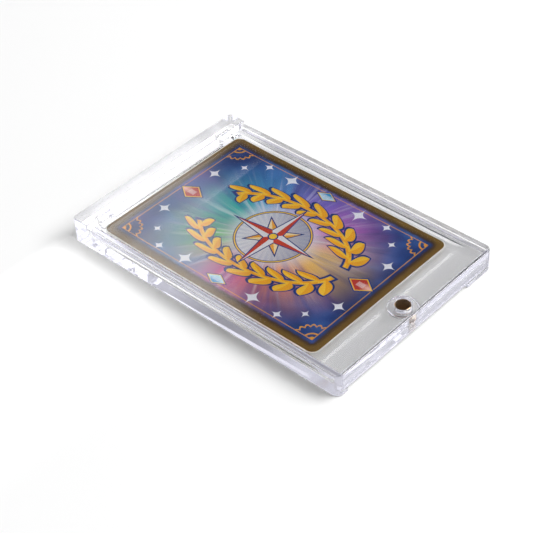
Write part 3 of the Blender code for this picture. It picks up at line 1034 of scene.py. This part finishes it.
class CASE_OT_lid(bpy.types.Operator):
    """Make the clear lid with its skirt, half-round edge, tabs and magnet boss"""

    bl_idname = "card_case.lid"
    bl_label = "Clear lid"

    def execute(self, context):
        sizes = context.scene.case_sizes
        edge = sizes.edge
        outside = LID_LOW.y + edge
        plate_low = HINGE.z - HINGE_RADIUS
        inside = LID_LOW.y + sizes.skirt
        fillet = sizes.skirt_fillet
        section = (
            corner_arc(outside, LID_HIGH.z - edge, edge, pi / 2),
            corner_arc(outside, LID_LOW.z + edge, edge, pi),
            corner_arc(inside - edge, LID_LOW.z + edge, edge, -pi / 2),
            corner_arc(inside + fillet, plate_low - fillet, fillet, pi, -pi / 2),
            corner_arc(HINGE.y, HINGE.z, HINGE_RADIUS, -pi / 2),
            corner_arc(HINGE.y, HINGE.z, HINGE_RADIUS, 0.0),
        )
        piece = block("clear_lid", section, -LID_HIGH.x, LID_HIGH.x, edge, edge, across_x=True)

        half = sizes.tab_width / 2
        half_thick = sizes.tab_thickness / 2
        tab_x = LID_HIGH.x + sizes.gap - sizes.tab_inset
        tab = box_arcs((HINGE.y, HINGE.z - half_thick), (LID_HIGH.y, HINGE.z + half_thick), edge)
        for place in (-tab_x, tab_x):
            tool = block("tab", tab, place - half, place + half, edge, edge, across_x=True)
            combine(piece, tool, "UNION")

        relief_half = LID_HIGH.x + sizes.gap - sizes.ledge
        combine(piece, stack("relief", relief_prism(relief_half, plate_low, sizes)))

        pocket_radius = MAGNET_RADIUS + sizes.gap
        boss = magnet_circle(pocket_radius + sizes.boss_wall)
        combine(piece, block("boss", boss, LID_MAGNET_LOW.z, HINGE.z, edge / 2, 0.0, ROUND_STEPS), "UNION")
        pocket = magnet_circle(pocket_radius)
        roof = LID_HIGH.z - sizes.cover
        combine(piece, block("lid_pocket", pocket, -OVERRUN, roof, 0.0, sizes.cut_edge, ROUND_STEPS))

        soften(piece, sizes.cut_edge)
        finish = context.scene.case_plastic
        piece.data.materials.append(clear_plastic("clear_plastic_lid", finish, LID_HIGH.z, 0.3, LID_LOW.z))
        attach(piece, "lid")
        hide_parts("lid_panel")
        return {"FINISHED"}


def turned_disc(name, low, high, edge):
    """A disc turned about the magnets' axis.

    A point is (r cos t, centre + r sin t, z), with (r, z) on a profile from the middle round the side.
    """
    inset, height = edge_profile(low, high, edge, edge)
    flat = np.linspace(0.0, MAGNET_RADIUS - edge, DISC_STEPS, endpoint=False)
    radius = np.concatenate([flat, MAGNET_RADIUS - inset, flat[::-1]])[:, None]
    turn = np.linspace(0.0, 2 * pi, 4 * ROUND_STEPS, endpoint=False)
    rings = np.stack([radius * np.cos(turn), MAGNET_Y + radius * np.sin(turn)], axis=-1)
    piece = new_piece(name, lifted(rings, np.pad(height, DISC_STEPS, mode="edge")))
    piece.data.set_sharp_from_angle(angle=radians(60))
    return piece


class CASE_OT_magnets(bpy.types.Operator):
    """Make the two disc magnets"""

    bl_idname = "card_case.magnets"
    bl_label = "Disc magnets"

    def execute(self, context):
        finish = context.scene.case_magnets
        for name, node, body, low, high in (
            ("base_disc_magnet", "base_magnet", "base", BASE_MAGNET_LOW.z, BASE_MAGNET_HIGH.z),
            ("lid_disc_magnet", "lid_magnet", "lid", LID_MAGNET_LOW.z, LID_MAGNET_HIGH.z),
        ):
            piece = turned_disc(name, low, high, finish.edge)
            piece.data.materials.append(plated_metal(name + "_plating", finish))
            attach(piece, body)
            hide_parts(node)
        return {"FINISHED"}


class CASE_OT_card(bpy.types.Operator):
    """Make the printed card, slightly bowed, with its cut edge"""

    bl_idname = "card_case.card"
    bl_label = "Printed card"

    def execute(self, context):
        card = context.scene.case_card
        arcs = box_arcs(CARD_LOW, CARD_HIGH, card.corner)
        rim = edge_rings(arcs, CARD_LOW.z, CARD_HIGH.z, card.edge, card.edge)
        shares = np.linspace(0.0, 1.0, CARD_STEPS, endpoint=False)[:, None, None]

        def face(ring):
            """A face of the card: the outline shrunk about its middle."""
            middle = np.array([0.0, CARD_Y, ring[0, 2]])
            return middle + shares * (ring - middle)

        # The bow is a parabola: it falls by half of the squares of the shares across and along
        points = np.concatenate([face(rim[0]), rim, face(rim[-1])[::-1]])
        across = points[..., 0] / CARD_HIGH.x
        along = (points[..., 1] - CARD_Y) / CARD_HALF
        points[..., 2] -= card.bow * np.clip(across ** 2 * 0.5 + along ** 2 * 0.5, 0.0, 1.0)
        piece = new_piece("printed_card", points)
        piece.data.set_sharp_from_angle(angle=radians(50))
        for material in (printed_face(card), printed_back(card), card_stock(card)):
            piece.data.materials.append(material)
        normals = np.zeros(len(piece.data.polygons) * 3)
        piece.data.polygons.foreach_get("normal", normals)
        upright = normals.reshape(-1, 3)[:, 2]
        kinds = np.where(upright > 0.9, 0, np.where(upright < -0.9, 1, 2)).astype(np.int32)
        piece.data.polygons.foreach_set("material_index", kinds)
        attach(piece, "base")
        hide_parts("display_card")
        return {"FINISHED"}


# Stage

def aim(turn, height, distance):
    """A point at a distance from the origin, in a direction given by its turn from +X and its height."""
    flat = distance * np.cos(height)
    return Vector((flat * np.cos(turn), flat * np.sin(turn), distance * np.sin(height)))


def studio_floor(look):
    """A large level sheet: x and y run over a square grid and z stays just under the case."""
    line = np.linspace(-FLOOR_HALF, FLOOR_HALF, look.steps + 1)
    x, y = np.meshgrid(line, line)
    points = np.stack([x, y, np.full_like(x, -FLOOR_DROP)], axis=-1)
    piece = mesh_object("studio_floor", points, grid_faces(*x.shape, closed=False))
    material, tree, shader = new_material("pale_floor", roughness=1.0, specular=0.0)
    x, y = axes(tree)[:2]
    mottle = noise(vector(x, y, 0.0), 3.0, 2.0)
    plug(shader.inputs["Base Color"], blend(mottle * 0.1, look.floor, (0.64, 0.64, 0.64)))

    # What the camera and mirrors see, what is seen straight through the plastic, and what runs along inside
    camera_ray, glossy_ray, through, depth = light_path(
        tree, "Is Camera Ray", "Is Glossy Ray", "Is Transmission Ray", "Glossy Depth")
    straight = through * depth.rise(0.8, 0.2)
    inside = through * depth.rise(*MIRRORED)
    # Painted light on the floor under the bar and beside the case's far half, and painted shade under the
    # right rail and the left rail
    behind = through * y.rise_mm(*BAR_GLOW) * look.far_glow
    sides = x.rise_mm(*RIGHT_RAIL) * (1.0 - RIGHT_RAIL_SHARE) + RIGHT_RAIL_SHARE
    shaded = x.rise_mm(*SHADE_ACROSS) * y.rise_mm(*SHADE_ALONG) * look.shade_share
    passed = x.rise_mm(*PASSED_ACROSS) * y.rise_mm(*PASSED_NEAR) * y.rise_mm(*PASSED_FAR)
    plug(shader.inputs["Emission Color"], blend(inside, WHITE, look.wall_colour))
    glow = (straight * sides * look.clear_glow).most(inside * (1.0 - shaded) * look.inside_glow) + behind
    seen = camera_ray.most(glossy_ray)
    plug(shader.inputs["Emission Strength"], glow.most(seen * (passed * look.passed_light + look.glow)))
    piece.data.materials.append(material)


def key_lamp(look):
    """One large soft lamp, high on the right of the near end."""
    data = bpy.data.lights.new("key_lamp", "AREA")
    data.shape = "SQUARE"
    data.size = look.lamp_size
    data.energy = look.lamp_level * pi * look.lamp_size ** 2
    data.use_nodes = True
    inside = light_path(data.node_tree, "Glossy Depth")[0].rise(*MIRRORED)
    emission = data.node_tree.nodes["Emission"]
    plug(emission.inputs["Strength"], 1.0 - inside * (1.0 - look.lamp_inside))
    plug(emission.inputs["Color"], blend(inside, WHITE, look.wall_colour))
    lamp = new_object("key_lamp", data)
    lamp.location = aim(look.lamp_turn, look.lamp_height, look.lamp_distance)
    lamp.rotation_euler = (-lamp.location).to_track_quat("-Z", "Y").to_euler()
    lamp.visible_camera = False


def surroundings(look):
    """A dim room with a pale band along the horizon and one soft-edged window behind the bar.

    The camera sees white. Brightness is worked out from the direction of a ray, and the window's sides from
    its reach along a line that is square to them.
    """
    world = bpy.data.worlds.new("studio_room")
    bpy.context.scene.world = world
    world.use_nodes = True
    tree = world.node_tree
    x, y, z = axes(tree, "Generated")
    camera_ray, through, depth = light_path(tree, "Is Camera Ray", "Is Transmission Ray", "Glossy Depth")
    mirrored = depth.rise(*MIRRORED) * through
    horizon = z.rise(*BAND_TOP) * 0.88 + 0.02
    side = x * WINDOW_LINE[0] + y * WINDOW_LINE[1] + z * WINDOW_LINE[2]
    window = side.rise(*WINDOW_LEFT) * side.rise(*WINDOW_RIGHT)
    window = window * z.rise(*WINDOW_FOOT) * z.rise(*WINDOW_HEAD) * y.rise(*WINDOW_FRONT)
    brightness = horizon + window * look.window_level * (1.0 - mirrored)
    wall = (noise(vector(x, y, z), 9.0, 1.0).rise(0.35, 0.65) * 0.8 + 0.55) * look.wall_level
    background = tree.nodes["Background"]
    plug(background.inputs["Strength"], brightness.most(mirrored * wall).most(camera_ray))
    plug(background.inputs["Color"], blend(mirrored, WHITE, look.wall_colour))


def camera():
    """A long lens at the photograph's viewpoint: left of the case, before its near end and above it."""
    data = bpy.data.cameras.new("photo_camera")
    data.lens = 98.016
    data.sensor_width = 36.0
    data.clip_start = 0.01
    viewer = new_object("photo_camera", data)
    viewer.location = (-0.24704256, -0.2382183, 0.29254119)
    viewer.rotation_euler = (radians(48.99305), radians(2.59741), radians(-47.59793))
    bpy.context.scene.camera = viewer


class CASE_OT_stage(bpy.types.Operator):
    """Make the floor, the lamp, the surroundings and the camera"""

    bl_idname = "card_case.stage"
    bl_label = "Stage"

    def execute(self, context):
        look = context.scene.case_stage
        camera()
        studio_floor(look)
        key_lamp(look)
        surroundings(look)
        context.scene.view_settings.view_transform = "Standard"
        context.scene.cycles.max_bounces = LIGHT_BOUNCES
        context.scene.cycles.transmission_bounces = LIGHT_BOUNCES
        context.scene.cycles.glossy_bounces = LIGHT_BOUNCES
        return {"FINISHED"}


OPERATORS = (CASE_OT_stage, CASE_OT_base, CASE_OT_lid, CASE_OT_magnets, CASE_OT_card)


class CASE_PT_sidebar(bpy.types.Panel):
    """Shows the operators and their values in the sidebar of the 3D view"""

    bl_label = "Card case"
    bl_idname = "CASE_PT_sidebar"
    bl_space_type = "VIEW_3D"
    bl_region_type = "UI"
    bl_category = "Card case"

    def draw(self, context):
        for operator in OPERATORS:
            self.layout.operator(operator.bl_idname)
        for name, group in GROUPS.items():
            box = self.layout.box()
            box.label(text=group.__doc__)
            for title in group.__annotations__:
                box.prop(getattr(context.scene, name), title)


CLASSES = (*GROUPS.values(), *OPERATORS, CASE_PT_sidebar)


def register():
    for item in CLASSES:
        bpy.utils.register_class(item)
    for name, group in GROUPS.items():
        setattr(bpy.types.Scene, name, PointerProperty(type=group))


def unregister():
    for name in GROUPS:
        delattr(bpy.types.Scene, name)
    for item in reversed(CLASSES):
        bpy.utils.unregister_class(item)


def main():
    register()
    bpy.ops.card_case.stage()
    bpy.ops.card_case.base()
    bpy.ops.card_case.lid()
    bpy.ops.card_case.magnets()
    bpy.ops.card_case.card()


if __name__ == "__main__":
    main()
